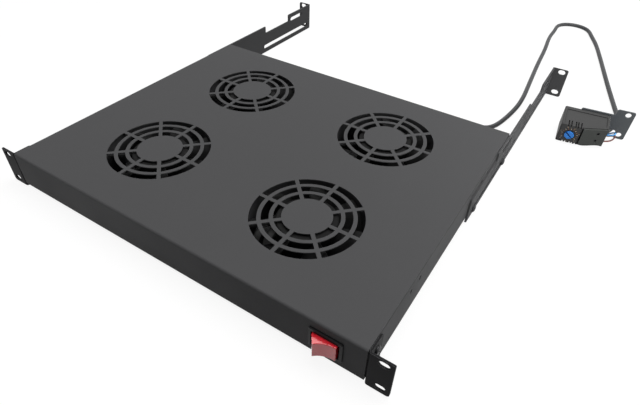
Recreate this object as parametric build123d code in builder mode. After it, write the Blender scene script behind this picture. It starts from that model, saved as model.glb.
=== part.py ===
from build123d import *
from math import cos, pi, radians, sin, tan
import os

# A fan unit for a 19-inch rack, one rack unit high: a flat steel housing with four mains fans under
# ring grilles, a lit rocker switch in its front, bolt-on front ears, sliding rear arms, and a small
# thermostat on a cable. Millimetres, +X to the right seen from the front, +Y to the back, +Z up.
# The origin is the centre of the four slots of the front ears, on the plane that meets the rack's rails.

os.makedirs("parts", exist_ok=True)

# The rack's own sizes
slot_pitch_x = 465.1
slot_pitch_z = 31.75
slot_length = 10.0
slot_width = 7.0
ear_span = 482.6

# Housing: a tray and a cover of bent sheet
body_width = 438.0
body_depth = 358.0
body_top = 22.2
sheet = 1.0
front_bend = 2.5
sheet_bend = 1.0
cover_inset = 0.6
cover_return = 14.0
cover_rear_flange = 12.0
wall_flange = 9.0
tray_gap = 0.1

# Side walls: one row of holes near the top and one near the bottom
upper_row = 11.0
lower_row = -12.7
ear_screw_y = 10.0
spare_hole_inner = 82.0
spare_hole_outer = 101.0
spare_hole_radius = 2.6

# Fans: square metal frames with a round bore, in two rows of two
fan_size = 119.5
fan_corner = 5.0
fan_depth = 38.0
fan_headroom = 0.2
fan_pitch_x = 198.0
fan_pitch_y = 164.5
fan_field_y = 178.0
fan_flange = 4.5
fan_bore_radius = 57.4
fan_wall = 1.8
fan_hole_pitch = 104.8
fan_hole_radius = 2.2
strut_count = 4
strut_width = 7.0
strut_height = 4.0
motor_plate_radius = 30.0

# Rotors: a cup with blades, on a thin shaft in two bearings
hub_radius = 31.0
hub_wall = 1.6
hub_height = 27.0
hub_top_gap = 2.0
hub_rounding = 2.0
boss_radius = 5.0
boss_height = 6.0
blade_count = 7
blade_tip_gap = 1.4
blade_thickness = 1.6
blade_root_chord = 29.0
blade_tip_chord = 44.0
blade_root_angle = 54.0
blade_tip_angle = 33.0
blade_camber = 0.1
blade_mid_height = 21.0
shaft_radius = 1.5
shaft_fit = 0.03
seat_fit = 0.02
bearing_radius = 4.0
bearing_height = 4.0
bearing_tube_wall = 2.0
bearing_tube_height = 22.0
stator_radius = 27.5
stator_height = 13.0
stator_rise = 3.0
stator_pole_gap = 3.0
stator_poles = 4

# Ring grilles: rings of slots around a plain disc, crossed by spokes
grille_disc_radius = 25.0
grille_slot = 7.8
grille_bar = 4.0
grille_rings = 3
spoke_count = 8
spoke_width = 4.0

# Front ears: angles of thicker sheet on the side walls
ear_sheet = 2.0
ear_top = 21.4
ear_height = 43.6
ear_flange = 21.5
ear_bend = 2.5
ear_foot_rounding = 3.0
ear_top_rounding = 1.0

# Rear arms: flat bars that slide on two bolts each, with an ear turned out at the rear
arm_sheet = 2.0
arm_gap = 0.15
arm_front = 224.0
arm_rear = 579.0
arm_top = 21.0
arm_waist = 10.1
arm_tall_start = 308.0
arm_tall_end = 446.0
arm_tail_start = 512.0
arm_rounding = 1.5
arm_slot_width = 6.5
arm_travel = 55.0
arm_bolt_front = 241.0
arm_bolt_rear = 346.0
arm_bolt_play = 1.0
arm_long_slot_start = 440.0
arm_long_slot_end = 572.0
arm_short_slot = 35.0
arm_short_slot_drop = 9.5
arm_short_slot_end = 553.0
arm_spare_slot_y = 346.0

# Screws, bolts and nuts: head radius, head height, shank radius
small_screw = (2.8, 1.8, 1.5)
fan_screw = (3.6, 2.2, 2.0)
ear_screw = (4.2, 2.4, 2.0)
arm_bolt = (4.8, 2.7, 2.5)
screw_fit = 0.05
head_taper = 25.0
fan_nut_width = 7.0
fan_nut_height = 3.2
arm_nut_width = 8.0
arm_nut_height = 4.0
cover_screw_length = 6.0
cover_screw_x = 180.0

# Rocker switch in the front panel
switch_from_side = 36.5
bezel_width = 32.0
bezel_height = 25.0
bezel_depth = 2.0
bezel_rounding = 2.0
switch_body_width = 28.0
switch_body_height = 21.6
switch_body_depth = 25.0
switch_well_width = 26.6
switch_well_depth = 12.0
switch_fit = 0.2
rocker_width = 23.8
rocker_face_width = 18.8
rocker_height = 17.4
rocker_proud = 8.5
rocker_back = 4.0
rocker_dish = 2.0
rocker_draft = 0.5
rocker_tilt = 20.0
rocker_rounding = 0.8
rocker_gap = 0.4
pivot_radius = 1.5
pivot_length = 1.2
terminal_width = 6.3
terminal_thickness = 0.8
terminal_length = 9.0
terminal_pitch = 9.0

# Mains inlet in the rear wall
inlet_x = 100.0
inlet_z = -4.8
inlet_flange_width = 50.0
inlet_flange_height = 22.5
inlet_flange_depth = 3.0
inlet_width = 27.4
inlet_height = 19.6
inlet_depth = 19.0
inlet_well_width = 24.4
inlet_well_height = 16.6
inlet_well_depth = 16.0
inlet_corner = 5.0
inlet_pin_length = 11.0
inlet_pin_pitch = 7.0
inlet_pin_step = 2.0
inlet_pin_width = 4.0
inlet_pin_thickness = 2.0
inlet_tab_length = 7.0
inlet_screw_pitch = 40.0

# Cable gland in the rear wall
gland_x = 170.0
gland_z = -8.0
gland_hex = 15.0
gland_hex_depth = 6.0
gland_thread_radius = 6.0
gland_nose_base = 6.2
gland_nose_tip = 4.4
gland_length = 23.0
gland_nut_depth = 4.0

# Thermostat, turned a little away from the front and leaning forward on its lower front edge
thermostat_x = 263.9
thermostat_y = 452.7
thermostat_turn = 7.0
thermostat_lean = 6.0
case_width = 57.0
case_height = 28.0
case_depth = 43.0
case_rounding = 2.0
case_edge = 0.6
case_rim = 3.0
case_rim_back = 7.0
case_rim_depth = 0.6
slope_start = 24.7
slope_angle = 19.2
vent_positions = (8.8, 12.2, 17.7, 20.5, 24.2)
vent_reach = 11.5
vent_width = 1.4
vent_depth = 2.2
groove_start = 26.6
groove_width = 1.6
groove_base = 6.9
groove_height = 13.7
groove_depth = 3.0
dial_x = 13.8
dial_z = 12.9
dial_radius = 6.0
dial_proud = 1.8
dial_depth = 3.0
dial_well_gap = 0.6
dial_slot_width = 1.4
dial_slot_angle = -40.0
dial_stem_radius = 2.0
dial_stem_length = 6.0

# Plate over the terminals, on the sloping part of the thermostat's face and measured along it
plate_start = 2.6
plate_length = 30.7
plate_thickness = 2.5
plate_base = 1.0
plate_top = 27.0
plate_wave = 1.2
plate_screw_along = 22.2
plate_screw_heights = (21.3, 10.2)
plate_screw_radius = 1.7

# Bracket behind the thermostat: a pad, a neck and an ear with two holes, which reaches down to the surface
bracket_sheet = 1.5
bracket_pad_start = 20.0
bracket_neck_base = 7.5
bracket_neck_top = 30.0
bracket_ear_start = 61.5
bracket_foot_start = 70.5
bracket_ear_end = 83.5
bracket_ear_base = -4.5
bracket_ear_top = 39.0
bracket_rounding = 2.5
bracket_hole_radius = 3.5
bracket_hole_x = 75.7
bracket_hole_middle = 17.6

# Thermostat cable, on the surface that the unit stands on
cable_diameter = 6.5
cable_lift = 0.05
boot_length = 14.0
boot_nose_radius = 3.4
boot_tail_radius = 4.2
wire_diameter = 2.0
wire_spacing = 2.6
cable_bend_share = 0.45

# Terminal block on the tray's floor
block_x = 189.0
block_y = 214.0
terminal_block_length = 42.0
terminal_block_width = 19.0
terminal_block_height = 15.0
terminal_block_step = 4.0
terminal_block_poles = 4
terminal_hole_radius = 2.2

# Worked out from the above
front_face = -ear_sheet
rear_face = front_face + body_depth
mid_depth = front_face + body_depth / 2
half_width = body_width / 2
body_height = fan_depth + fan_headroom + 2 * sheet
body_bottom = body_top - body_height
tray_floor = body_bottom + sheet
tray_top = body_top - sheet
tray_front = front_face + front_bend + tray_gap
tray_rear = rear_face - sheet
panel_bottom = body_bottom - sheet
panel_middle = (body_top + panel_bottom) / 2
floor_level = ear_top - ear_height
grille_reach = grille_disc_radius + grille_rings * grille_slot + (grille_rings - 1) * grille_bar
fan_bottom = tray_floor
motor_plate_top = fan_bottom + strut_height
hub_top = fan_bottom + fan_depth - hub_top_gap
blade_tip_radius = fan_bore_radius - blade_tip_gap
switch_x = half_width - switch_from_side
slot_x = slot_pitch_x / 2
fan_places = {
    "front_left": (-fan_pitch_x / 2, fan_field_y - fan_pitch_y / 2),
    "front_right": (fan_pitch_x / 2, fan_field_y - fan_pitch_y / 2),
    "rear_left": (-fan_pitch_x / 2, fan_field_y + fan_pitch_y / 2),
    "rear_right": (fan_pitch_x / 2, fan_field_y + fan_pitch_y / 2),
}


def save(piece, label):
    """Names a finished piece and writes its file."""
    piece.part.label = label
    export_step(piece.part, f"parts/{label}.step")


def facing_front(y, x=0.0, z=0.0):
    """An upright plane whose normal points at the front, with its own y axis up."""
    return Plane(origin=(x, y, z), x_dir=(1, 0, 0), z_dir=(0, -1, 0))


def facing_rear(y, x=0.0, z=0.0):
    """An upright plane whose normal points at the back."""
    return Plane(origin=(x, y, z), x_dir=(-1, 0, 0), z_dir=(0, 1, 0))


def facing_side(side, x, y=0.0, z=0.0):
    """An upright plane on one side of the housing, with its normal away from the middle."""
    return Plane(origin=(side * x, y, z), x_dir=(0, side, 0), z_dir=(side, 0, 0))


def screws(places, sizes, length):
    """Round-headed screws: each plane is the seat of one head and faces away from the joint."""
    head_radius, head_height, shank_radius = sizes
    with BuildPart() as group:
        for place in places:
            with BuildSketch(place):
                Circle(head_radius)
            extrude(amount=head_height, taper=head_taper)
            with BuildSketch(place):
                Circle(shank_radius)
            extrude(amount=-length)
    return group


def nuts(places, width, height, shank_radius):
    """Hexagon nuts: each plane is the seat of one nut and faces the way the nut stands."""
    with BuildPart() as group:
        for place in places:
            with BuildSketch(place):
                RegularPolygon(radius=width / 2, side_count=6, major_radius=False)
                Circle(shank_radius + screw_fit, mode=Mode.SUBTRACT)
            extrude(amount=height)
    return group


def grille_slots():
    """The slots of one grille: full rings, from the outer one inwards, then the spokes left standing."""
    with BuildSketch() as slots:
        for ring in reversed(range(grille_rings)):
            inner = grille_disc_radius + ring * (grille_slot + grille_bar)
            Circle(inner + grille_slot)
            Circle(inner, mode=Mode.SUBTRACT)
        with PolarLocations(0, spoke_count // 2, angular_range=180):
            Rectangle(2 * grille_reach + 1, spoke_width, mode=Mode.SUBTRACT)
    return slots.sketch


grille = grille_slots()

# Cover: one sheet that is the top, the front panel, a return under the tray and a flange at the back
with BuildPart() as top_cover:
    with BuildSketch(Plane.YZ):
        with BuildLine():
            FilletPolyline(
                (front_face + cover_return, panel_bottom + sheet / 2),
                (front_face + sheet / 2, panel_bottom + sheet / 2),
                (front_face + sheet / 2, body_top - sheet / 2),
                (rear_face - sheet / 2, body_top - sheet / 2),
                (rear_face - sheet / 2, body_top - cover_rear_flange),
                radius=[sheet_bend, front_bend - sheet / 2, sheet / 2 + 0.01],
            )
        trace(line_width=sheet)
    extrude(amount=half_width - cover_inset, both=True)
    for x, y in fan_places.values():
        with BuildSketch(Plane(origin=(x, y, body_top))):
            add(grille)
        extrude(amount=-sheet, mode=Mode.SUBTRACT)
    with BuildSketch(facing_front(front_face, switch_x, panel_middle)):
        Rectangle(switch_body_width + 2 * switch_fit, switch_body_height + 2 * switch_fit)
    extrude(amount=-sheet, mode=Mode.SUBTRACT)
    with BuildSketch(facing_rear(rear_face, 0, body_top - cover_rear_flange / 2)):
        with GridLocations(cover_screw_x, 0, 3, 1):
            Circle(small_screw[2] + screw_fit)
    extrude(amount=-sheet, mode=Mode.SUBTRACT)
    with BuildSketch(Plane(origin=(0, front_face + cover_return / 2 + sheet, panel_bottom))):
        with GridLocations(cover_screw_x, 0, 3, 1):
            Circle(small_screw[2] + screw_fit)
    extrude(amount=sheet, mode=Mode.SUBTRACT)
save(top_cover, "top_cover")

# Tray: floor, side walls with a flange turned in along their top, and the rear wall
with BuildPart() as base_tray:
    with BuildSketch(facing_front(tray_rear)):
        with BuildLine():
            FilletPolyline(
                (-half_width + wall_flange, tray_top - sheet / 2),
                (-half_width + sheet / 2, tray_top - sheet / 2),
                (-half_width + sheet / 2, body_bottom + sheet / 2),
                (half_width - sheet / 2, body_bottom + sheet / 2),
                (half_width - sheet / 2, tray_top - sheet / 2),
                (half_width - wall_flange, tray_top - sheet / 2),
                radius=[sheet_bend] * 4,
            )
        trace(line_width=sheet)
    extrude(amount=tray_rear - tray_front)
    with BuildSketch(facing_front(tray_rear, 0, (tray_floor + tray_top - sheet) / 2)):
        Rectangle(body_width - 2 * sheet, tray_top - sheet - tray_floor)
    extrude(amount=sheet)
    for x, y in fan_places.values():
        with BuildSketch(Plane(origin=(x, y, body_bottom))):
            add(grille)
            with GridLocations(fan_hole_pitch, fan_hole_pitch, 2, 2):
                Circle(fan_hole_radius)
        extrude(amount=sheet, mode=Mode.SUBTRACT)
    with BuildSketch(Plane.YZ):
        with Locations((ear_screw_y, upper_row), (ear_screw_y, lower_row)):
            Circle(ear_screw[2] + screw_fit)
        with Locations((arm_bolt_front, lower_row), (arm_bolt_rear, lower_row)):
            Circle(arm_bolt[2] + screw_fit)
        with Locations((mid_depth, upper_row)):
            with GridLocations(2 * spare_hole_inner, 0, 2, 1):
                Circle(spare_hole_radius)
            with GridLocations(2 * spare_hole_outer, 0, 2, 1):
                Circle(spare_hole_radius)
        with Locations((arm_spare_slot_y, upper_row)):
            Circle(spare_hole_radius)
    extrude(amount=half_width, both=True, mode=Mode.SUBTRACT)
    with BuildSketch(facing_rear(tray_rear)):
        with Locations((-inlet_x, inlet_z)):
            Rectangle(inlet_width + 2 * switch_fit, inlet_height + 2 * switch_fit)
            with GridLocations(inlet_screw_pitch, 0, 2, 1):
                Circle(small_screw[2] + screw_fit)
        with Locations((-gland_x, gland_z)):
            Circle(gland_thread_radius + screw_fit)
        with Locations((0, body_top - cover_rear_flange / 2)):
            with GridLocations(cover_screw_x, 0, 3, 1):
                Circle(small_screw[2] + screw_fit)
    extrude(amount=-sheet, mode=Mode.SUBTRACT)
    with BuildSketch(Plane(origin=(0, front_face + cover_return / 2 + sheet, body_bottom))):
        with GridLocations(cover_screw_x, 0, 3, 1):
            Circle(small_screw[2] + screw_fit)
    extrude(amount=sheet, mode=Mode.SUBTRACT)
save(base_tray, "base_tray")

cover_screw_places = []
for x in (-cover_screw_x, 0, cover_screw_x):
    cover_screw_places.append(facing_rear(rear_face, x, body_top - cover_rear_flange / 2))
    under = (x, front_face + cover_return / 2 + sheet, panel_bottom)
    cover_screw_places.append(Plane(origin=under, z_dir=(0, 0, -1)))
cover_screws = screws(cover_screw_places, small_screw, cover_screw_length)
save(cover_screws, "cover_screws")


def fan_frame(x, y):
    """A metal frame: two square flanges on a round shell, with the motor's plate on struts at the bottom."""
    with BuildPart() as frame:
        for level in (fan_bottom, fan_bottom + fan_depth - fan_flange):
            with BuildSketch(Plane(origin=(x, y, level))):
                RectangleRounded(fan_size, fan_size, fan_corner)
                Circle(fan_bore_radius, mode=Mode.SUBTRACT)
                with GridLocations(fan_hole_pitch, fan_hole_pitch, 2, 2):
                    Circle(fan_hole_radius, mode=Mode.SUBTRACT)
            extrude(amount=fan_flange)
        with BuildSketch(Plane(origin=(x, y, fan_bottom))):
            Circle(fan_bore_radius + fan_wall)
            Circle(fan_bore_radius, mode=Mode.SUBTRACT)
        extrude(amount=fan_depth)
        with BuildSketch(Plane(origin=(x, y, fan_bottom))):
            with PolarLocations(0, strut_count // 2, start_angle=45, angular_range=180):
                Rectangle(2 * fan_bore_radius + fan_wall, strut_width)
            Circle(motor_plate_radius)
        extrude(amount=strut_height)
        with BuildSketch(Plane(origin=(x, y, fan_bottom))):
            Circle(bearing_radius + seat_fit + bearing_tube_wall)
        extrude(amount=strut_height + bearing_tube_height)
        with BuildSketch(Plane(origin=(x, y, fan_bottom + sheet))):
            Circle(bearing_radius + seat_fit)
        extrude(amount=strut_height + bearing_tube_height, mode=Mode.SUBTRACT)
    return frame


def blade_section(radius, chord, angle):
    """One cambered section of a blade, on the upright plane at that radius."""
    along = Vector(cos(radians(angle)), sin(radians(angle)))
    across = Vector(-along.Y, along.X)
    half = along * (chord / 2)
    crown = across * (chord * blade_camber)
    skin = across * (blade_thickness / 2)
    upright = Plane(origin=(radius, 0, blade_mid_height), x_dir=(0, 1, 0), z_dir=(1, 0, 0))
    with BuildSketch(upright) as section:
        with BuildLine():
            ThreePointArc(-half + skin, crown + skin, half + skin)
            Line(half + skin, half - skin)
            ThreePointArc(half - skin, crown - skin, -half - skin)
            Line(-half - skin, -half + skin)
        make_face()
    return section.sketch


with BuildPart() as blade:
    loft(
        sections=[
            blade_section(hub_radius - hub_wall, blade_root_chord, blade_root_angle),
            blade_section(fan_bore_radius + fan_wall, blade_tip_chord, blade_tip_angle),
        ]
    )
    with BuildSketch():
        Circle(blade_tip_radius)
        Circle(hub_radius - hub_wall / 2, mode=Mode.SUBTRACT)
    extrude(amount=fan_depth, mode=Mode.INTERSECT)


def fan_rotor(x, y):
    """A cup over the motor, with the blades around it and a boss for the shaft under its top."""
    with BuildPart() as rotor:
        with BuildSketch(Plane(origin=(x, y, hub_top))):
            Circle(hub_radius)
        extrude(amount=-hub_height)
        fillet(rotor.edges().sort_by(Axis.Z)[-1], hub_rounding)
        with BuildSketch(Plane(origin=(x, y, hub_top - hub_wall))):
            Circle(hub_radius - hub_wall)
            Circle(boss_radius, mode=Mode.SUBTRACT)
        extrude(amount=-hub_height, mode=Mode.SUBTRACT)
        with BuildSketch(Plane(origin=(x, y, hub_top - hub_wall - boss_height))):
            Circle(boss_radius)
        extrude(amount=-hub_height, mode=Mode.SUBTRACT)
        with Locations((x, y, fan_bottom)):
            with PolarLocations(0, blade_count):
                add(blade.part)
        with BuildSketch(Plane(origin=(x, y, hub_top - hub_wall - boss_height))):
            Circle(shaft_radius + seat_fit)
        extrude(amount=boss_height, mode=Mode.SUBTRACT)
    return rotor


def fan_shaft(x, y):
    """A thin rod from the boss down through both bearings."""
    with BuildPart() as shaft:
        with BuildSketch(Plane(origin=(x, y, hub_top - hub_wall))):
            Circle(shaft_radius)
        extrude(amount=-(hub_top - hub_wall - fan_bottom - sheet - shaft_fit))
    return shaft


def fan_bearings(x, y):
    """Two bushes, one at each end of the bearing tube."""
    tube_top = motor_plate_top + bearing_tube_height
    with BuildPart() as bearings:
        for level in (fan_bottom + sheet, tube_top - bearing_height):
            with BuildSketch(Plane(origin=(x, y, level))):
                Circle(bearing_radius)
                Circle(shaft_radius + shaft_fit, mode=Mode.SUBTRACT)
            extrude(amount=bearing_height)
    return bearings


def fan_stator(x, y):
    """The wound core on the bearing tube, its poles parted by slots, on a collar on the motor plate."""
    tube_radius = bearing_radius + seat_fit + bearing_tube_wall + seat_fit
    with BuildPart() as stator:
        with BuildSketch(Plane(origin=(x, y, motor_plate_top))):
            Circle(stator_radius / 2)
            Circle(tube_radius, mode=Mode.SUBTRACT)
        extrude(amount=stator_rise)
        with BuildSketch(Plane(origin=(x, y, motor_plate_top + stator_rise))):
            Circle(stator_radius)
            with PolarLocations(stator_radius, stator_poles):
                Rectangle(stator_radius, stator_pole_gap, mode=Mode.SUBTRACT)
            Circle(tube_radius, mode=Mode.SUBTRACT)
        extrude(amount=stator_height)
    return stator


for place, (x, y) in fan_places.items():
    save(fan_frame(x, y), f"fan_frame_{place}")
    save(fan_rotor(x, y), f"fan_rotor_{place}")
    save(fan_shaft(x, y), f"fan_shaft_{place}")
    save(fan_bearings(x, y), f"fan_bearings_{place}")
    save(fan_stator(x, y), f"fan_stator_{place}")

# The fans' screws come up through the tray's floor into nuts on the lower flanges
fan_screw_places = []
fan_nut_places = []
half_pitch = fan_hole_pitch / 2
for x, y in fan_places.values():
    for right in (-half_pitch, half_pitch):
        for back in (-half_pitch, half_pitch):
            fan_screw_places.append(Plane(origin=(x + right, y + back, body_bottom), z_dir=(0, 0, -1)))
            fan_nut_places.append(Plane(origin=(x + right, y + back, fan_bottom + fan_flange)))
fan_screw_length = sheet + fan_flange + fan_nut_height + sheet
save(screws(fan_screw_places, fan_screw, fan_screw_length), "fan_screws")
save(nuts(fan_nut_places, fan_nut_width, fan_nut_height, fan_screw[2]), "fan_nuts")


def front_ear(side):
    """An angle on the side wall: its flange lies on the wall and its plate has the two rail slots."""
    inner = half_width
    outer = ear_span / 2
    with BuildPart() as ear:
        with BuildSketch(Plane.XY.offset(floor_level)):
            with BuildLine():
                FilletPolyline(
                    (side * outer, front_face + ear_sheet / 2),
                    (side * (inner + ear_sheet / 2), front_face + ear_sheet / 2),
                    (side * (inner + ear_sheet / 2), front_face + ear_flange),
                    radius=ear_bend - ear_sheet / 2,
                )
            trace(line_width=ear_sheet)
        extrude(amount=ear_height)
        plate_corners = ear.edges().filter_by(Axis.Y).sort_by(Axis.X, reverse=side > 0)[:2].sort_by(Axis.Z)
        fillet(plate_corners[0], ear_foot_rounding)
        fillet(plate_corners[1], ear_top_rounding)
        flange_corners = ear.edges().filter_by(Axis.X).sort_by(Axis.Y)[-2:]
        fillet(flange_corners, ear_foot_rounding)
        with BuildSketch(facing_front(front_face, side * slot_x)):
            with GridLocations(0, slot_pitch_z, 1, 2):
                SlotOverall(slot_length, slot_width)
        extrude(amount=-ear_sheet, mode=Mode.SUBTRACT)
        with BuildSketch(facing_side(side, inner + ear_sheet)):
            with Locations((side * ear_screw_y, upper_row), (side * ear_screw_y, lower_row)):
                Circle(ear_screw[2] + screw_fit)
        extrude(amount=-ear_sheet, mode=Mode.SUBTRACT)
    return ear


def rear_arm(side):
    """A bar along the side wall that slides back and forth, cut from one sheet with its rear ear."""
    inner = half_width + arm_gap
    outer = ear_span / 2
    rear = arm_rear + arm_sheet
    with BuildPart() as arm:
        with BuildSketch(Plane.XY.offset(floor_level)):
            with BuildLine():
                FilletPolyline(
                    (side * outer, arm_rear + arm_sheet / 2),
                    (side * (inner + arm_sheet / 2), arm_rear + arm_sheet / 2),
                    (side * (inner + arm_sheet / 2), arm_front),
                    radius=ear_bend - arm_sheet / 2,
                )
            trace(line_width=arm_sheet)
        extrude(amount=arm_top - floor_level)
        plate_corners = arm.edges().filter_by(Axis.Y).sort_by(Axis.X, reverse=side > 0)[:2]
        fillet(plate_corners, ear_foot_rounding)
        with BuildSketch(facing_side(1, side * inner - ear_span)):
            with BuildLine():
                Polyline(
                    (arm_front, floor_level),
                    (rear, floor_level),
                    (rear, arm_top),
                    (arm_tail_start, arm_top),
                    (arm_tail_start, arm_waist),
                    (arm_tall_end, arm_waist),
                    (arm_tall_end, arm_top),
                    (arm_tall_start, arm_top),
                    (arm_tall_start, arm_waist),
                    (arm_front, arm_waist),
                    close=True,
                )
            outline = make_face()
            fillet(outline.vertices().sort_by(Axis.Y)[:-2], arm_rounding)
        extrude(amount=2 * ear_span, mode=Mode.INTERSECT)
        slot_start = arm_bolt_front - arm_bolt[2] - arm_bolt_play
        slot_end = arm_bolt_rear + arm_travel + arm_bolt[2] + arm_bolt_play
        short_z = arm_top - arm_short_slot_drop
        with BuildSketch(facing_side(side, inner + arm_sheet)):
            with Locations((side * (slot_start + slot_end) / 2, lower_row)):
                SlotOverall(slot_end - slot_start, arm_slot_width)
            with Locations((side * (arm_long_slot_start + arm_long_slot_end) / 2, lower_row)):
                SlotOverall(arm_long_slot_end - arm_long_slot_start, arm_slot_width)
            with Locations((side * (arm_short_slot_end - arm_short_slot / 2), short_z)):
                SlotOverall(arm_short_slot, arm_slot_width)
            with Locations((side * arm_spare_slot_y, short_z)):
                SlotOverall(arm_short_slot, arm_slot_width)
        extrude(amount=-arm_sheet, mode=Mode.SUBTRACT)
        with BuildSketch(facing_front(arm_rear, side * slot_x)):
            with GridLocations(0, slot_pitch_z, 1, 2):
                SlotOverall(slot_length, slot_width)
        extrude(amount=-arm_sheet, mode=Mode.SUBTRACT)
    return arm


save(front_ear(-1), "front_ear_left")
save(front_ear(1), "front_ear_right")
save(rear_arm(-1), "rear_arm_left")
save(rear_arm(1), "rear_arm_right")

ear_screw_places = []
ear_nut_places = []
arm_bolt_places = []
arm_nut_places = []
arm_outside = half_width + arm_gap + arm_sheet + arm_gap
nut_seat = sheet + screw_fit - half_width
for side in (-1, 1):
    for z in (upper_row, lower_row):
        ear_screw_places.append(facing_side(side, half_width + ear_sheet, ear_screw_y, z))
        ear_nut_places.append(facing_side(-side, nut_seat, ear_screw_y, z))
    for y in (arm_bolt_front, arm_bolt_rear):
        arm_bolt_places.append(facing_side(side, arm_outside, y, lower_row))
        arm_nut_places.append(facing_side(-side, nut_seat, y, lower_row))
save(screws(ear_screw_places, ear_screw, ear_sheet + sheet + fan_nut_height), "ear_screws")
save(nuts(ear_nut_places, fan_nut_width, fan_nut_height, ear_screw[2]), "ear_nuts")
save(screws(arm_bolt_places, arm_bolt, arm_outside - half_width + sheet + arm_nut_height), "arm_bolts")
save(nuts(arm_nut_places, arm_nut_width, arm_nut_height, arm_bolt[2]), "arm_nuts")

# Switch: bezel, neck through the panel and the box behind it, with a well for the rocker
rocker_pivot_y = front_face
switch_well_height = rocker_height + 2 * rocker_gap
bezel_front = front_face - bezel_depth
with BuildPart() as switch_body:
    with BuildSketch(facing_front(front_face, switch_x, panel_middle)):
        RectangleRounded(bezel_width, bezel_height, bezel_rounding)
    extrude(amount=bezel_depth)
    chamfer(switch_body.faces().sort_by(Axis.Y)[0].edges(), bezel_depth / 3)
    with BuildSketch(facing_front(front_face, switch_x, panel_middle)):
        Rectangle(switch_body_width, switch_body_height)
    extrude(amount=-switch_body_depth)
    with BuildSketch(facing_front(bezel_front, switch_x, panel_middle)):
        Rectangle(switch_well_width, switch_well_height)
    extrude(amount=-switch_well_depth, mode=Mode.SUBTRACT)
    with BuildSketch(Plane(origin=(switch_x, rocker_pivot_y, panel_middle))):
        Circle(pivot_radius + screw_fit)
    pivot_reach = rocker_height / 2 + pivot_length + screw_fit
    extrude(amount=pivot_reach, both=True, mode=Mode.SUBTRACT)
save(switch_body, "switch_body")

# Rocker: a dished key with tapered ends, drawn level and turned to its left end out
rocker_plane = Plane(origin=(switch_x, rocker_pivot_y, panel_middle)).rotated((0, 0, rocker_tilt))
half_rocker = rocker_width / 2
half_rocker_face = rocker_face_width / 2
with BuildPart() as switch_rocker:
    with BuildSketch(rocker_plane):
        with BuildLine():
            ThreePointArc(
                (-half_rocker_face, -rocker_proud),
                (0, rocker_dish - rocker_proud),
                (half_rocker_face, -rocker_proud),
            )
            Polyline(
                (half_rocker_face, -rocker_proud),
                (half_rocker, 0),
                (half_rocker - rocker_draft, rocker_back),
                (rocker_draft - half_rocker, rocker_back),
                (-half_rocker, 0),
                (-half_rocker_face, -rocker_proud),
            )
        make_face()
    extrude(amount=rocker_height / 2, both=True)
    fillet(switch_rocker.faces().filter_by(GeomType.CYLINDER).edges(), rocker_rounding)
    with BuildSketch(rocker_plane):
        Circle(pivot_radius)
    extrude(amount=rocker_height / 2 + pivot_length, both=True)
save(switch_rocker, "switch_rocker")

with BuildPart() as switch_terminals:
    with BuildSketch(facing_rear(front_face + switch_body_depth, switch_x, panel_middle)):
        with GridLocations(terminal_pitch, terminal_pitch, 3, 2):
            Rectangle(terminal_thickness, terminal_width)
    extrude(amount=terminal_length)
save(switch_terminals, "switch_terminals")


def inlet_outline(width, height, corner):
    """The socket's outline: a rectangle with its two lower corners cut off."""
    with BuildSketch() as outline:
        with BuildLine():
            Polyline(
                (-width / 2, height / 2),
                (width / 2, height / 2),
                (width / 2, corner - height / 2),
                (width / 2 - corner, -height / 2),
                (corner - width / 2, -height / 2),
                (-width / 2, corner - height / 2),
                close=True,
            )
        make_face()
    return outline.sketch


# Inlet: flange on the rear wall, shell through it and a well with three pins
inlet_face = tray_rear + inlet_flange_depth
inlet_pin_places = (
    (-inlet_pin_pitch, -inlet_pin_step),
    (0, inlet_pin_step),
    (inlet_pin_pitch, -inlet_pin_step),
)
with BuildPart() as inlet_body:
    with BuildSketch(facing_rear(tray_rear, inlet_x, inlet_z)):
        RectangleRounded(inlet_flange_width, inlet_flange_height, inlet_corner)
    extrude(amount=inlet_flange_depth)
    with BuildSketch(facing_rear(tray_rear, inlet_x, inlet_z)):
        Rectangle(inlet_width, inlet_height)
    extrude(amount=-inlet_depth)
    with BuildSketch(facing_rear(inlet_face, inlet_x, inlet_z)):
        add(inlet_outline(inlet_well_width, inlet_well_height, inlet_corner))
    extrude(amount=-inlet_well_depth, mode=Mode.SUBTRACT)
    with BuildSketch(facing_rear(inlet_face, inlet_x, inlet_z)):
        with GridLocations(inlet_screw_pitch, 0, 2, 1):
            Circle(small_screw[2] + screw_fit)
    extrude(amount=-inlet_flange_depth, mode=Mode.SUBTRACT)
    with BuildSketch(facing_rear(inlet_face - inlet_well_depth, inlet_x, inlet_z)):
        with Locations(*inlet_pin_places):
            Rectangle(inlet_pin_thickness, inlet_pin_width)
    extrude(amount=-inlet_depth, mode=Mode.SUBTRACT)
save(inlet_body, "inlet_body")

inlet_shell_length = inlet_depth + inlet_flange_depth
with BuildPart() as inlet_pins:
    with BuildSketch(facing_rear(inlet_face - inlet_well_depth + inlet_pin_length, inlet_x, inlet_z)):
        with Locations(*inlet_pin_places):
            Rectangle(inlet_pin_thickness, inlet_pin_width)
    extrude(amount=-(inlet_pin_length + inlet_shell_length - inlet_well_depth + inlet_tab_length))
save(inlet_pins, "inlet_pins")

inlet_screw_places = []
for x in (inlet_x - inlet_screw_pitch / 2, inlet_x + inlet_screw_pitch / 2):
    inlet_screw_places.append(facing_rear(inlet_face, x, inlet_z))
save(screws(inlet_screw_places, small_screw, inlet_flange_depth + cover_screw_length), "inlet_screws")

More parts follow.
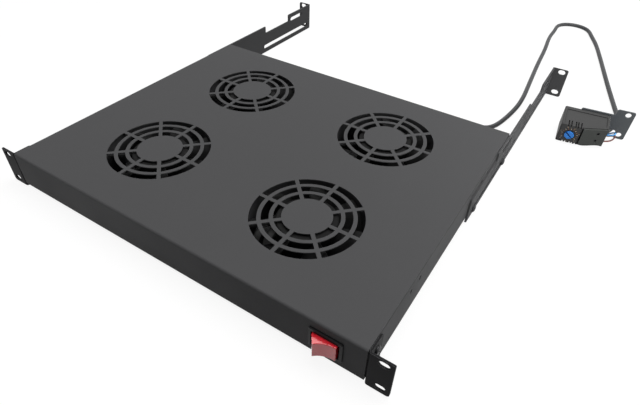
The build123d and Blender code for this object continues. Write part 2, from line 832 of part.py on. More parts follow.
# Gland: a hexagon and a tapered nose outside the rear wall, a thread through it and a nut inside
with BuildPart() as cable_gland:
    with BuildSketch(facing_rear(tray_rear, gland_x, gland_z)):
        RegularPolygon(radius=gland_hex / 2, side_count=6, major_radius=False)
    extrude(amount=gland_hex_depth)
    with BuildSketch(facing_rear(tray_rear + gland_hex_depth, gland_x, gland_z)):
        Circle(gland_nose_base)
    with BuildSketch(facing_rear(tray_rear + gland_length, gland_x, gland_z)):
        Circle(gland_nose_tip)
    loft()
    with BuildSketch(facing_rear(tray_rear, gland_x, gland_z)):
        Circle(gland_thread_radius)
    extrude(amount=-(sheet + gland_nut_depth + sheet))
save(cable_gland, "cable_gland")
gland_nut_place = facing_front(tray_rear - sheet, gland_x, gland_z)
save(nuts([gland_nut_place], gland_hex, gland_nut_depth, gland_thread_radius), "gland_nut")

# Thermostat cable: out of the gland, down to the surface and round in one loose loop to the thermostat
lying = floor_level + cable_diameter / 2 + cable_lift
boot_level = floor_level + boot_tail_radius + cable_lift
cable_route = [
    Vector(gland_x, tray_rear + gland_length, gland_z),
    Vector(gland_x, 396, gland_z),
    Vector(186, 427, lying),
    Vector(195, 477, lying),
    Vector(198, 524, lying),
    Vector(189, 600, lying),
    Vector(182, 676, lying),
    Vector(178, 748, lying),
    Vector(172, 806, lying),
    Vector(172, 850, lying),
    Vector(178, 882, lying),
    Vector(198, 898, lying),
    Vector(223, 895, lying),
    Vector(241, 874, lying),
    Vector(248, 838, lying),
    Vector(262, 785, lying),
    Vector(281, 715, lying),
    Vector(299, 652, lying),
    Vector(316, 597, lying),
    Vector(329, 549, boot_level),
    Vector(322, 520, boot_level),
]


def bend_radii(route):
    """The largest arc at each corner of a route that the shorter of its two runs allows."""
    radii = []
    for before, corner, after in zip(route, route[1:], route[2:]):
        shorter = min((corner - before).length, (after - corner).length)
        turn = radians((corner - before).get_angle(after - corner))
        radii.append(cable_bend_share * shorter / tan(turn / 2))
    return radii


def tube(route, radius):
    """A round tube along straight runs joined by arcs."""
    with BuildPart() as pipe:
        with BuildLine() as path:
            FilletPolyline(*route, radius=bend_radii(route))
        with BuildSketch(Plane(origin=route[0], z_dir=route[1] - route[0])):
            Circle(radius)
        sweep(path=path.line)
    length = sum(edge.length for edge in path.edges())
    share = pipe.part.volume / (pi * radius**2 * length)
    print("tube", round(length, 1), "long, volume share", round(share, 5))
    print("least radii", [round(r, 1) for r in sorted(bend_radii(route))[:6]])
    return pipe


thermostat_cable = tube(cable_route, cable_diameter / 2)
save(thermostat_cable, "thermostat_cable")

# Boot: the sleeve where the cable's jacket ends, in line with the cable's last run
boot_direction = (cable_route[-1] - cable_route[-2]).normalized()
boot_nose = cable_route[-1] + boot_direction * boot_length
with BuildPart() as cable_boot:
    with BuildSketch(Plane(origin=cable_route[-1], z_dir=boot_direction)):
        Circle(boot_tail_radius)
    with BuildSketch(Plane(origin=boot_nose, z_dir=boot_direction)):
        Circle(boot_nose_radius)
    loft()
save(cable_boot, "cable_boot")

# Planes of the thermostat: its base, with x along its face and y to its back, and those facing its front
face_turn = radians(thermostat_turn)
face_lean = radians(thermostat_lean)
base = Plane(
    origin=(thermostat_x, thermostat_y, floor_level),
    x_dir=(cos(face_turn), sin(face_turn), 0),
    z_dir=(sin(face_turn) * sin(face_lean), -cos(face_turn) * sin(face_lean), cos(face_lean)),
)


def at_case(x, back, z):
    """A point given along the thermostat's face, behind its face and above its foot."""
    return base.from_local_coords(Vector(x, back, z))


def case_front(back, x=0.0, z=0.0):
    """A plane that faces the thermostat's front, that far behind its face."""
    return Plane(origin=at_case(x, back, z), x_dir=base.x_dir, z_dir=-base.y_dir)


# The case's outline from above: its face is straight over the dial and then slopes back
face_slope = radians(slope_angle)
case_outline = (
    (0, 0),
    (slope_start, 0),
    (case_width, (case_width - slope_start) * tan(face_slope)),
    (case_width, case_depth),
    (0, case_depth),
)
case_top = Plane(origin=at_case(0, 0, case_height), x_dir=base.x_dir, z_dir=base.z_dir)
slope_front = Plane(
    origin=at_case(slope_start, 0, 0),
    x_dir=base.x_dir * cos(face_slope) + base.y_dir * sin(face_slope),
    z_dir=base.x_dir * sin(face_slope) - base.y_dir * cos(face_slope),
)
upward = Axis(at_case(0, 0, 0), base.z_dir)
forward = Axis(at_case(0, 0, 0), -base.y_dir)

# Case: a shallow panel in its top, vents through its upper and lower front edges, a groove and the dial's well
with BuildPart() as thermostat_case:
    with BuildSketch(base) as plan:
        with BuildLine():
            Polyline(*case_outline, close=True)
        make_face()
        fillet(plan.vertices().group_by(Axis.X)[0], case_rounding)
        fillet(plan.vertices().group_by(Axis.X)[-1], case_rounding / 2)
    extrude(amount=case_height)
    case_ends = thermostat_case.faces().sort_by(upward)
    chamfer(case_ends[0].edges() + case_ends[-1].edges(), case_edge)
    with BuildSketch(case_top):
        with BuildLine():
            Polyline(*case_outline, close=True)
        make_face()
        offset(amount=-case_rim, kind=Kind.INTERSECTION)
        with Locations((case_width / 2, case_depth)):
            Rectangle(case_width, 2 * case_rim_back, mode=Mode.SUBTRACT)
    extrude(amount=-case_rim_depth, mode=Mode.SUBTRACT)
    for level in (vent_depth / 2, case_height - vent_depth / 2):
        with BuildSketch(case_front(0, 0, level)):
            with Locations(*[(x, 0) for x in vent_positions]):
                Rectangle(vent_width, vent_depth)
        extrude(amount=-vent_reach, mode=Mode.SUBTRACT)
    with BuildSketch(case_front(0, groove_start + groove_width / 2, groove_base + groove_height / 2)):
        Rectangle(groove_width, groove_height)
    extrude(amount=-groove_depth, mode=Mode.SUBTRACT)
    with BuildSketch(case_front(0, dial_x, dial_z)):
        Circle(dial_radius + dial_well_gap)
    extrude(amount=-dial_depth, mode=Mode.SUBTRACT)
    with BuildSketch(case_front(dial_depth, dial_x, dial_z)):
        Circle(dial_stem_radius + screw_fit)
    extrude(amount=-dial_stem_length - screw_fit, mode=Mode.SUBTRACT)
save(thermostat_case, "thermostat_case")

with BuildPart() as thermostat_dial:
    with BuildSketch(case_front(dial_depth - dial_well_gap, dial_x, dial_z)):
        Circle(dial_radius)
    extrude(amount=dial_depth - dial_well_gap + dial_proud)
    chamfer(thermostat_dial.faces().sort_by(forward)[-1].edges(), dial_well_gap)
    with BuildSketch(case_front(-dial_proud, dial_x, dial_z)):
        Rectangle(2 * dial_radius, dial_slot_width, rotation=dial_slot_angle)
    extrude(amount=-dial_proud, mode=Mode.SUBTRACT)
    with BuildSketch(case_front(dial_depth - dial_well_gap, dial_x, dial_z)):
        Circle(dial_stem_radius)
    extrude(amount=-dial_stem_length)
save(thermostat_dial, "thermostat_dial")

# Terminal cover on the case's slope, with a waved lower edge and two holes for the terminal screws
plate_end = plate_start + plate_length
plate_screw_places = [(plate_screw_along, z) for z in plate_screw_heights]
with BuildPart() as terminal_cover:
    with BuildSketch(slope_front):
        with BuildLine():
            Line((plate_start, plate_base + plate_wave), (plate_start, plate_top))
            Line((plate_start, plate_top), (plate_end, plate_top))
            Line((plate_end, plate_top), (plate_end, plate_base))
            Spline(
                (plate_end, plate_base),
                (plate_end - plate_length / 3, plate_base + plate_wave),
                (plate_start + plate_length / 3, plate_base),
                (plate_start, plate_base + plate_wave),
            )
        make_face()
        with Locations(*plate_screw_places):
            Circle(plate_screw_radius, mode=Mode.SUBTRACT)
    extrude(amount=plate_thickness)
save(terminal_cover, "terminal_cover")

with BuildPart() as terminal_screws:
    with BuildSketch(slope_front):
        with Locations(*plate_screw_places):
            Circle(plate_screw_radius - screw_fit)
    extrude(amount=plate_thickness / 2)
save(terminal_screws, "terminal_screws")

# Bracket: a flat plate behind the case, narrowed to a neck beside it and widened to an ear with a foot
neck_middle = (bracket_neck_base + bracket_neck_top) / 2
pad_screw_x = (bracket_pad_start + case_width) / 2
with BuildPart() as thermostat_bracket:
    with BuildSketch(case_front(case_depth + bracket_sheet)) as bracket_outline:
        with BuildLine():
            Polyline(
                (bracket_pad_start, bracket_neck_base),
                (bracket_foot_start, bracket_neck_base),
                (bracket_foot_start, bracket_ear_base),
                (bracket_ear_end, bracket_ear_base),
                (bracket_ear_end, bracket_ear_top),
                (bracket_ear_start, bracket_ear_top),
                (bracket_ear_start, bracket_neck_top),
                (bracket_pad_start, bracket_neck_top),
                close=True,
            )
        make_face()
        fillet(bracket_outline.vertices(), bracket_rounding)
        with Locations((bracket_hole_x, bracket_hole_middle)):
            with GridLocations(0, slot_pitch_z, 1, 2):
                Circle(bracket_hole_radius, mode=Mode.SUBTRACT)
        with Locations((pad_screw_x, neck_middle)):
            with GridLocations(bracket_pad_start, 0, 2, 1):
                Circle(small_screw[2] + screw_fit, mode=Mode.SUBTRACT)
    extrude(amount=bracket_sheet)
save(thermostat_bracket, "thermostat_bracket")

bracket_screw_places = []
for x in (pad_screw_x - bracket_pad_start / 2, pad_screw_x + bracket_pad_start / 2):
    seat = at_case(x, case_depth + bracket_sheet, neck_middle)
    bracket_screw_places.append(Plane(origin=seat, x_dir=-base.x_dir, z_dir=base.y_dir))
bracket_screws = screws(bracket_screw_places, small_screw, bracket_sheet)
save(bracket_screws, "bracket_screws")

# Two single wires from the boot's nose, under the neck and round the case's end to the terminals
last_run = boot_nose + boot_direction * (boot_length / 2)
blue_route = [
    boot_nose + Vector(0, 0, wire_spacing / 2),
    last_run + Vector(0, 0, wire_spacing / 2),
    at_case(60.5, 33, 3.5),
    at_case(65.5, 26, 9),
    at_case(67, 17.5, 16),
    slope_front.from_local_coords(Vector(plate_end + 7, 19, plate_thickness / 2)),
    slope_front.from_local_coords(Vector(plate_end, 19, plate_thickness / 2)),
]
brown_route = [
    boot_nose - Vector(0, 0, wire_spacing / 2),
    last_run - Vector(0, 0, wire_spacing / 2),
    at_case(61.5, 32, -0.5),
    at_case(66, 26, 2),
    at_case(68, 17.5, 7),
    slope_front.from_local_coords(Vector(plate_end + 7, 9, plate_thickness / 2)),
    slope_front.from_local_coords(Vector(plate_end, 9, plate_thickness / 2)),
]
save(tube(blue_route, wire_diameter / 2), "wire_blue")
save(tube(brown_route, wire_diameter / 2), "wire_brown")

# Terminal block: a stepped strip with a screw well over each pole
with BuildPart() as terminal_block:
    with BuildSketch(Plane(origin=(block_x, block_y, tray_floor))):
        Rectangle(terminal_block_width, terminal_block_length)
    extrude(amount=terminal_block_height - terminal_block_step)
    with BuildSketch(Plane(origin=(block_x, block_y, tray_floor))):
        Rectangle(terminal_block_width / 2, terminal_block_length)
    extrude(amount=terminal_block_height)
    with BuildSketch(Plane(origin=(block_x, block_y, tray_floor + terminal_block_height))):
        with GridLocations(0, terminal_block_length / terminal_block_poles, 1, terminal_block_poles):
            Circle(terminal_hole_radius)
    extrude(amount=-terminal_block_height / 2, mode=Mode.SUBTRACT)
save(terminal_block, "terminal_block")
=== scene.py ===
from math import cos, radians, sin

import bpy
from mathutils import Matrix, Vector


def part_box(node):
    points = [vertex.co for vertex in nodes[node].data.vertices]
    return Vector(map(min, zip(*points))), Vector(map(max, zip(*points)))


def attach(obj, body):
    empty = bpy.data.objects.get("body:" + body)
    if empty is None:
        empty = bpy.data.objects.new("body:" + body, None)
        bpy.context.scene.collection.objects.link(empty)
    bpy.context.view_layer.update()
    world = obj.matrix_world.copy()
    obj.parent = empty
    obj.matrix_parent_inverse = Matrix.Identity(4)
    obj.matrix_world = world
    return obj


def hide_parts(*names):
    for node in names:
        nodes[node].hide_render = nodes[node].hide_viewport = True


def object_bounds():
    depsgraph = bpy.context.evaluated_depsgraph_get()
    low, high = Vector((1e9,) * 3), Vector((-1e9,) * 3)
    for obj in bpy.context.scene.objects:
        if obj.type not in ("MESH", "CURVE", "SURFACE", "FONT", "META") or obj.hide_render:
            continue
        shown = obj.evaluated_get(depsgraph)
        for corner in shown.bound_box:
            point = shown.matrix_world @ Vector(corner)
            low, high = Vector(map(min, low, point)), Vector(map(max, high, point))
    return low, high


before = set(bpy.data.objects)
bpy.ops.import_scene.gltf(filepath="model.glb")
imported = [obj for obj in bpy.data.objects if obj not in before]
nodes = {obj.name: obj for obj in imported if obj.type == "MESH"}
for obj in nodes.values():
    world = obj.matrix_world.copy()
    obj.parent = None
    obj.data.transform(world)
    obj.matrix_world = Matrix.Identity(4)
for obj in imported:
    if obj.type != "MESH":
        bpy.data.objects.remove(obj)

cad_low, cad_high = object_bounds()

# Camera: above and in front of the right front corner, looking back along the unit's diagonal,
# with a short lens that makes the near corner large.
camera_data = bpy.data.cameras.new("camera")
camera_data.sensor_width = 36.0
camera_data.lens = 27.807
camera_data.clip_start = 0.01
camera_place = (0.2909, -0.1971, 0.3424)
turn, tilt, roll = radians(31.30), radians(40.88), radians(2.13)
forward = Vector((-sin(turn) * cos(tilt), cos(turn) * cos(tilt), -sin(tilt)))
level = Vector((cos(turn), sin(turn), 0.0))
upright = level.cross(forward)
right = level * cos(roll) + upright * sin(roll)
up = upright * cos(roll) - level * sin(roll)
camera_aim = Matrix((right, up, -forward)).transposed().to_4x4()
camera = bpy.data.objects.new("camera", camera_data)
camera.matrix_world = Matrix.Translation(camera_place) @ camera_aim
bpy.context.scene.collection.objects.link(camera)
bpy.context.scene.camera = camera

# Thermostat cable: a round cable in a dark grey PVC jacket. It leaves the gland in the rear wall,
# drops to the surface and comes round in one loose loop to the sleeve beside the thermostat. The
# sleeve is a ribbed moulding of the same PVC, fixed on over the end of the jacket.
cable_diameter = 0.0065
cable_route = (
    (0.170, 0.378, -0.008), (0.170, 0.396, -0.008), (0.186, 0.427, -0.0189),
    (0.195, 0.477, -0.0189), (0.198, 0.526, -0.0189), (0.191, 0.602, -0.0189),
    (0.1845, 0.6754, -0.0189), (0.1801, 0.7439, -0.0189), (0.173, 0.8019, -0.0189),
    (0.1738, 0.8453, -0.0189), (0.1721, 0.8718, -0.0189), (0.1804, 0.8885, -0.0189),
    (0.1963, 0.8973, -0.0189), (0.2144, 0.8957, -0.0189), (0.2289, 0.8836, -0.0189),
    (0.2385, 0.8579, -0.0189), (0.2533, 0.8198, -0.0189), (0.2674, 0.7704, -0.0189),
    (0.2827, 0.7139, -0.0189), (0.299, 0.654, -0.0189), (0.316, 0.595, -0.0189),
    (0.329, 0.549, -0.01795), (0.322, 0.520, -0.01795),
)


def laid(name, route, diameter):
    """A round cable or wire along the smooth line that its route's points pull into shape."""
    curve = bpy.data.curves.new(name, "CURVE")
    curve.dimensions = "3D"
    curve.bevel_depth = diameter / 2
    curve.bevel_resolution = 6
    curve.use_fill_caps = True
    line = curve.splines.new("NURBS")
    line.points.add(len(route) - 1)
    for point, place in zip(line.points, route):
        point.co = (*place, 1.0)
    line.order_u = 3
    line.use_endpoint_u = True
    line.resolution_u = 10
    piece = bpy.data.objects.new(name, curve)
    bpy.context.scene.collection.objects.link(piece)
    return piece


def turned(name, profile, sides=40):
    """A turned piece that stands on the origin, from the radius and height of each step."""
    radius, height = profile[0]
    bpy.ops.object.select_all(action="DESELECT")
    bpy.ops.mesh.primitive_circle_add(vertices=sides, radius=radius, fill_type="NGON")
    piece = bpy.context.object
    piece.name = piece.data.name = name
    bpy.ops.object.mode_set(mode="EDIT")
    bpy.ops.mesh.select_all(action="SELECT")
    bpy.ops.transform.translate(value=(0, 0, height))
    for next_radius, next_height in profile[1:]:
        bpy.ops.mesh.extrude_region_move(
            TRANSFORM_OT_translate={"value": (0, 0, next_height - height)}
        )
        share = next_radius / radius
        bpy.ops.transform.resize(value=(share, share, 1), center_override=(0, 0, next_height))
        radius, height = next_radius, next_height
    bpy.ops.mesh.select_all(action="SELECT")
    bpy.ops.mesh.normals_make_consistent(inside=False)
    bpy.ops.object.mode_set(mode="OBJECT")
    return piece


def pick(*pieces):
    """Selects these pieces alone, and makes the first the one that is worked on."""
    bpy.ops.object.select_all(action="DESELECT")
    for piece in pieces:
        piece.select_set(True)
    bpy.context.view_layer.objects.active = pieces[0]


def joined(pieces, name):
    """One piece made of several, under a new name."""
    pick(*pieces)
    if len(pieces) > 1:
        bpy.ops.object.join()
    pieces[0].name = pieces[0].data.name = name
    return pieces[0]


def set_in(piece, name, seats, spin_step=0.0):
    """Copies a piece that stands on the origin to its seats, each a point and the way it faces."""
    copies = []
    for index, (point, facing) in enumerate(seats):
        twin = bpy.data.objects.new(name, piece.data.copy())
        aim = Vector(facing).to_track_quat("Z", "Y").to_matrix().to_4x4()
        spin = Matrix.Rotation(radians(spin_step * index), 4, "Z")
        twin.data.transform(Matrix.Translation(point) @ aim @ spin)
        bpy.context.scene.collection.objects.link(twin)
        copies.append(twin)
    bpy.data.objects.remove(piece)
    return joined(copies, name)


def finish_piece(piece, material, body="root", crease=32.0):
    """Smooths a piece between its sharp edges, and gives it its material, slot and body."""
    pick(piece)
    bpy.ops.object.shade_smooth_by_angle(angle=radians(crease))
    piece.data.materials.clear()
    piece.data.materials.append(material)
    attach(piece, body)


def tone(red, green, blue):
    """A colour that is named by its 0 to 255 values, as the shaders want it."""
    return tuple((channel / 255) ** 2.2 for channel in (red, green, blue)) + (1.0,)


def feed(tree, value, socket):
    """Gives an input what another node puts out, or a plain number or colour."""
    if isinstance(value, bpy.types.NodeSocket):
        tree.links.new(value, socket)
    else:
        socket.default_value = value


def reckon(tree, operation, first, second):
    """What a node works out from two values."""
    node = tree.nodes.new("ShaderNodeMath")
    node.operation = operation
    feed(tree, first, node.inputs[0])
    feed(tree, second, node.inputs[1])
    return node.outputs[0]


def ranged(tree, value, old_ends, new_ends=(0.0, 1.0)):
    """A value carried over from one range to another, and held inside the new one."""
    node = tree.nodes.new("ShaderNodeMapRange")
    for end, number in zip(("From Min", "From Max", "To Min", "To Max"), (*old_ends, *new_ends)):
        node.inputs[end].default_value = number
    tree.links.new(value, node.inputs["Value"])
    return node.outputs["Result"]


def cloudy(tree, place, scale, detail=2.0):
    """Soft, irregular patches of values between 0 and 1, by their number in a metre."""
    node = tree.nodes.new("ShaderNodeTexNoise")
    node.inputs["Scale"].default_value = scale
    node.inputs["Detail"].default_value = detail
    tree.links.new(place, node.inputs["Vector"])
    return node.outputs["Fac"]


def surface(
    name, colour, roughness, grain, depth,
    mottle=0.08, metallic=0.0, gloss=0.5, stretch=(1, 1, 1),
):
    """A finish with a fine grain in its relief and slow, weak changes of shade and roughness."""
    material = bpy.data.materials.new(name)
    material.use_nodes = True
    tree = material.node_tree
    shader = tree.nodes["Principled BSDF"]
    shader.inputs["Metallic"].default_value = metallic
    shader.inputs["Specular IOR Level"].default_value = gloss
    place = tree.nodes.new("ShaderNodeTexCoord")
    mapping = tree.nodes.new("ShaderNodeMapping")
    mapping.inputs["Scale"].default_value = stretch
    tree.links.new(place.outputs["Object"], mapping.inputs["Vector"])
    fine = cloudy(tree, mapping.outputs["Vector"], scale=1 / grain, detail=3.0)
    slow = cloudy(tree, mapping.outputs["Vector"], scale=14.0, detail=4.0)
    bump = tree.nodes.new("ShaderNodeBump")
    bump.inputs["Strength"].default_value = 0.5
    bump.inputs["Distance"].default_value = depth
    tree.links.new(fine, bump.inputs["Height"])
    tree.links.new(bump.outputs["Normal"], shader.inputs["Normal"])
    usual_ends = (0.35, 0.65)
    ramp = tree.nodes.new("ShaderNodeValToRGB")
    shares = (1 - mottle, 1 + mottle)
    for element, end, share in zip(ramp.color_ramp.elements, usual_ends, shares):
        element.position = end
        element.color = tuple(channel * share for channel in colour[:3]) + (1.0,)
    both = reckon(tree, "ADD", fine, slow)
    tree.links.new(reckon(tree, "MULTIPLY", both, 0.5), ramp.inputs["Fac"])
    tree.links.new(ramp.outputs["Color"], shader.inputs["Base Color"])
    rough = ranged(tree, slow, usual_ends, (roughness - 0.05, roughness + 0.05))
    tree.links.new(rough, shader.inputs["Roughness"])
    return material


jacket_pvc = surface(
    "cable_pvc", tone(50, 51, 53), roughness=0.5, grain=0.0006, depth=0.00004
)
cable_jacket = laid("cable_jacket", cable_route, cable_diameter)
cable_jacket.data.materials.append(jacket_pvc)
sleeve_length = 0.014
sleeve_radius = 0.0042
sleeve_rib_count = 5
sleeve_rib_pitch = 0.0024
sleeve_rib_taper = 0.00016
sleeve_groove = 0.0006
sleeve_tail = Vector(cable_route[-1])
sleeve_way = (sleeve_tail - Vector(cable_route[-2])).normalized()
sleeve_profile = [(0.0036, 0.0), (sleeve_radius, 0.0005)]
for rib in range(sleeve_rib_count):
    start = 0.0015 + sleeve_rib_pitch * rib
    crest = sleeve_radius - sleeve_rib_taper * rib
    sleeve_profile += [
        (crest, start), (crest - sleeve_groove, start + 0.0004),
        (crest - sleeve_groove, start + 0.0014), (crest - 0.0002, start + 0.0018),
    ]
sleeve_profile += [(0.0034, sleeve_length - 0.0006), (0.0029, sleeve_length)]
cable_sleeve = set_in(
    turned("sleeve_ribs", sleeve_profile), "cable_sleeve", [(sleeve_tail, sleeve_way)]
)
finish_piece(cable_sleeve, jacket_pvc)
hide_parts("cable_boot")
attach(cable_jacket, "root")
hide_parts("thermostat_cable")

# Two single wires in thin PVC, blue and brown. They come out of the sleeve's nose, pass under the
# neck of the bracket and swing round the end of the case into its terminals.
case_corner = Vector((0.2639, 0.4527, -0.0222))
case_turn, case_lean = radians(7.0), radians(6.0)
case_along = Vector((cos(case_turn), sin(case_turn), 0.0))
case_up = Vector(
    (sin(case_turn) * sin(case_lean), -cos(case_turn) * sin(case_lean), cos(case_lean))
)
case_back = case_up.cross(case_along)


def at_case(x, back, z):
    """A point given along the thermostat's face, behind its face and above its foot, in metres."""
    return case_corner + case_along * x + case_back * back + case_up * z


wire_diameter = 0.002
wire_offset = 0.0013
sleeve_nose = sleeve_tail + sleeve_way * sleeve_length
wires = (
    (
        "blue", wire_offset, 0.0510, tone(70, 140, 200),
        (
            (0.0612, 0.0350, 0.004), (0.0665, 0.0310, 0.011), (0.0685, 0.0235, 0.0165),
            (0.0670, 0.0165, 0.0188), (0.0632, 0.0121, 0.019), (0.0566, 0.0098, 0.019),
        ),
    ),
    (
        "brown", -wire_offset, 0.0500, tone(120, 66, 58),
        (
            (0.0620, 0.0360, 0.0), (0.0695, 0.0350, 0.004), (0.0705, 0.0280, 0.0072),
            (0.0680, 0.0195, 0.0085), (0.0632, 0.0121, 0.009), (0.0566, 0.0098, 0.009),
        ),
    ),
)
for hue, height, length, colour, bends in wires:
    offset = Vector((0.0, 0.0, height))
    route = [sleeve_nose + offset, sleeve_nose + sleeve_way * (sleeve_length / 2) + offset]
    route += [at_case(*bend) for bend in bends]
    wire = laid("lead_" + hue, route, wire_diameter)
    wire.data.materials.append(
        surface(hue + "_pvc", colour, roughness=0.35, grain=0.0005, depth=0.00002)
    )
    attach(wire, "root")
    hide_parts("wire_" + hue)

# Housing: a cover and a tray of bent steel sheet, powder coated in a matt dark grey with a fine
# texture. The ears and the sliding arms are thicker sheet. The arms have the housing's coat and
# the ears a darker one. Both coats are lighter along the edges, partly worn and partly a painted
# highlight.


def blended(tree, share, first, second):
    """Two colours mixed, from the first alone at a share of 0 to the second alone at 1."""
    node = tree.nodes.new("ShaderNodeMix")
    node.data_type = "RGBA"
    for name, value in (("Factor", share), ("A", first), ("B", second)):
        feed(tree, value, node.inputs[name])
    return node.outputs["Result"]


def wear_and_edge_highlight(material, colour, width, amount=0.7):
    """Lightens the finish along sharp edges, in patches: partly worn coat showing what lies under
    it, partly a painted highlight where the edges catch light.
    """
    tree = material.node_tree
    shader = tree.nodes["Principled BSDF"]
    covered = shader.inputs["Base Color"].links[0].from_socket
    rounded = tree.nodes.new("ShaderNodeBevel")
    rounded.samples = 4
    rounded.inputs["Radius"].default_value = width
    plain = tree.nodes.new("ShaderNodeNewGeometry")
    bend = tree.nodes.new("ShaderNodeVectorMath")
    bend.operation = "DOT_PRODUCT"
    tree.links.new(rounded.outputs["Normal"], bend.inputs[0])
    tree.links.new(plain.outputs["Normal"], bend.inputs[1])
    flat, sharp = 0.98, 0.80
    edge_lightening = ranged(tree, bend.outputs["Value"], (flat, sharp), (0.0, amount))
    patches = cloudy(tree, tree.nodes["Mapping"].outputs["Vector"], scale=260.0)
    share = reckon(tree, "MULTIPLY", edge_lightening, patches)
    tree.links.new(blended(tree, share, covered, colour), shader.inputs["Base Color"])


def give(material, *names):
    """Puts one finish on CAD nodes by name."""
    for name in names:
        nodes[name].data.materials.clear()
        nodes[name].data.materials.append(material)


powder_coat = surface(
    "powder_coat", tone(85, 85, 86),
    roughness=0.62, grain=0.0011, depth=0.00006, mottle=0.04, gloss=0.05,
)
wear_and_edge_highlight(powder_coat, tone(128, 128, 130), 0.0005)
give(powder_coat, "top_cover", "base_tray", "rear_arm_left", "rear_arm_right")
ear_coat = surface(
    "ear_coat", tone(40, 40, 41),
    roughness=0.58, grain=0.0011, depth=0.00006, mottle=0.05, gloss=0.05,
)
wear_and_edge_highlight(ear_coat, tone(140, 140, 142), 0.0006)
give(ear_coat, "front_ear_left", "front_ear_right")

# Screws and nuts of the housing: zinc-plated steel. The outer ones are blackened pan heads with
# a cross recess: three under and three behind the cover, two in each ear and two in each arm.
# The nuts inside are bright.


def cut(piece, cutter):
    """Cuts one shape out of another, and takes the cutter away."""
    carving = piece.modifiers.new("carving", "BOOLEAN")
    carving.operation = "DIFFERENCE"
    carving.object = cutter
    pick(piece)
    bpy.ops.object.modifier_apply(modifier=carving.name)
    bpy.data.objects.remove(cutter)


def screw(name, head_radius, head_height, shank_radius, length):
    """A domed screw with a cross recess and a thread, its head's seat on the origin."""
    pitch = 0.0008
    tip, thread_root, neck = 0.7 * shank_radius, 0.84 * shank_radius, 0.9 * shank_radius
    head_rim = 0.2
    profile = [(tip, -length), (shank_radius, -length + pitch / 2)]
    for turn_number in range(int(length / pitch) - 1):
        crest = -length + pitch * (turn_number + 0.5)
        profile += [(thread_root, crest + pitch / 2), (shank_radius, crest + pitch)]
    profile += [(neck, -0.00005), (head_radius, 0.0), (head_radius, head_rim * head_height)]
    for angle in (18, 36, 54, 72):
        dome = head_rim + (1 - head_rim) * sin(radians(angle))
        profile.append((head_radius * cos(radians(0.88 * angle)), dome * head_height))
    piece = turned(name, profile, sides=28)
    recess_length, recess_width = 1.15 * head_radius, 0.24 * head_radius
    recess_middle = 0.92 * head_height
    for angle in (0, 90):
        bpy.ops.object.select_all(action="DESELECT")
        bpy.ops.mesh.primitive_cube_add(size=1)
        bar = bpy.context.object
        bar.data.transform(Matrix.Diagonal((recess_length, recess_width, head_height, 1)))
        bar.data.transform(Matrix.Rotation(radians(angle), 4, "Z"))
        bar.data.transform(Matrix.Translation((0, 0, recess_middle)))
        cut(piece, bar)
    return piece


black_zinc = surface(
    "black_zinc", tone(46, 46, 48),
    roughness=0.38, grain=0.0004, depth=0.00002, mottle=0.1, metallic=0.6,
)
# The screws' edges are lighter: partly worn plating, partly a painted highlight.
wear_and_edge_highlight(black_zinc, tone(150, 150, 150), 0.0002)
bright_zinc = surface(
    "bright_zinc", tone(196, 198, 196),
    roughness=0.3, grain=0.0004, depth=0.00002, mottle=0.1, metallic=1.0,
)
# Each screw's head radius, head height and shank radius.
small_screw = (0.0028, 0.0018, 0.0015)
fan_screw = (0.0036, 0.0022, 0.0020)
ear_screw = (0.0042, 0.0024, 0.0020)
arm_bolt = (0.0048, 0.0027, 0.0025)
rear_flange_face, lip_face = 0.356, -0.019
ear_face, arm_face = 0.221, 0.2213
upper_row, lower_row = 0.011, -0.0127
cover_seats = []
for x in (-0.18, 0.0, 0.18):
    cover_seats.append(((x, rear_flange_face, 0.0162), (0, 1, 0)))
    cover_seats.append(((x, 0.006, lip_face), (0, 0, -1)))
ear_seats = []
arm_seats = []
for side in (-1, 1):
    for z in (upper_row, lower_row):
        ear_seats.append(((side * ear_face, 0.010, z), (side, 0, 0)))
    for y in (0.241, 0.346):
        arm_seats.append(((side * arm_face, y, lower_row), (side, 0, 0)))
cover_heads = set_in(
    screw("cover_head", *small_screw, length=0.006), "cover_screw_set", cover_seats, spin_step=37
)
finish_piece(cover_heads, black_zinc)
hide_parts("cover_screws")
ear_heads = set_in(
    screw("ear_head", *ear_screw, length=0.0062), "ear_screw_set", ear_seats, spin_step=23
)
finish_piece(ear_heads, black_zinc)
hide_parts("ear_screws")
arm_heads = set_in(
    screw("arm_head", *arm_bolt, length=0.0073), "arm_bolt_set", arm_seats, spin_step=31
)
finish_piece(arm_heads, black_zinc)
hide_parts("arm_bolts")
give(bright_zinc, "fan_nuts", "ear_nuts", "arm_nuts")

# Fans: frames of cast aluminium in black paint, rotors moulded in black nylon, with a steel shaft
# in two bronze bushes and a wound core of stacked steel sheets. Four screws from below hold each.
cast_paint = surface(
    "cast_paint", tone(70, 70, 71), roughness=0.6, grain=0.0009, depth=0.00012, gloss=0.05
)
rotor_nylon = surface(
    "rotor_nylon", tone(38, 38, 38), roughness=0.6, grain=0.0007, depth=0.00004, gloss=0.05
)
shaft_steel = surface(
    "shaft_steel", tone(190, 190, 188), roughness=0.24, grain=0.0004, depth=0.00001,
    mottle=0.05, metallic=1.0, stretch=(1, 1, 12),
)
bush_bronze = surface(
    "bush_bronze", tone(176, 134, 82),
    roughness=0.4, grain=0.0003, depth=0.00003, mottle=0.12, metallic=1.0,
)
core_steel = surface(
    "core_steel", tone(120, 118, 114), roughness=0.45, grain=0.0005, depth=0.00008,
    mottle=0.15, metallic=1.0, stretch=(0.05, 0.05, 1),
)
tray_underside = -0.018
half_hole_pitch = 0.0524
fan_seats = []
